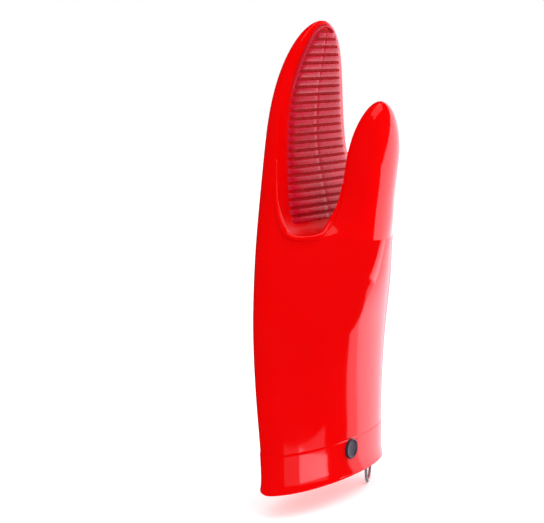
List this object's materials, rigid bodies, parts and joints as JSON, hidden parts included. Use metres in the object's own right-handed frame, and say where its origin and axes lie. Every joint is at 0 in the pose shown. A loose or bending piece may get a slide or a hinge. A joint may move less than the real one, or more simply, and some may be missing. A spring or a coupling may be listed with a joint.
{
  "type": "silicone oven mitt",
  "caption": "Silicone oven mitt with a finger pocket and a thumb pocket that close like a mouth, ribbed grip faces, a magnet button and a hanging ring.",
  "frame": {"origin": "middle of the cuff's open edge, in the plane of that edge", "axes": "+Z towards the fingertips, +X towards the thumb side, Y across the hand"},
  "size_m": [0.0829, 0.1322, 0.3044],
  "materials": {
    "silicone": "glossy red silicone",
    "grip_bars": "satin red silicone",
    "button_plastic": "satin blue-grey plastic",
    "magnet": "plated magnet",
    "ring_steel": "polished steel wire"
  },
  "bodies": {
    "palm": {"palm_sleeve": "silicone", "ring_lug": "silicone", "button_cap": "button_plastic", "button_magnet": "magnet", "button_back": "button_plastic"},
    "fingers": {"finger_pocket": "silicone", "finger_grip_bars": "grip_bars"},
    "thumb": {"thumb_pocket": "silicone", "thumb_grip_bars": "grip_bars"},
    "ring": {"hanging_ring": "ring_steel"}
  },
  "joints": [
    {"name": "finger_curl", "type": "hinge", "parent": "palm", "child": "fingers", "pos_m": [-0.015, 0, 0.15], "axis": [0, 1, 0], "range_deg": [-8, 11], "stiffness_Nm_per_rad": 0.6},
    {"name": "thumb_pinch", "type": "hinge", "parent": "palm", "child": "thumb", "pos_m": [0.031, 0, 0.15], "axis": [0, -1, 0], "range_deg": [-10, 13], "stiffness_Nm_per_rad": 0.4},
    {"name": "ring_swing", "type": "hinge", "parent": "palm", "child": "ring", "pos_m": [0.0095, 0.0395, 0.0085], "axis": [-0.4067, 0.9135, 0], "range_deg": [-8, 85]}
  ]
}
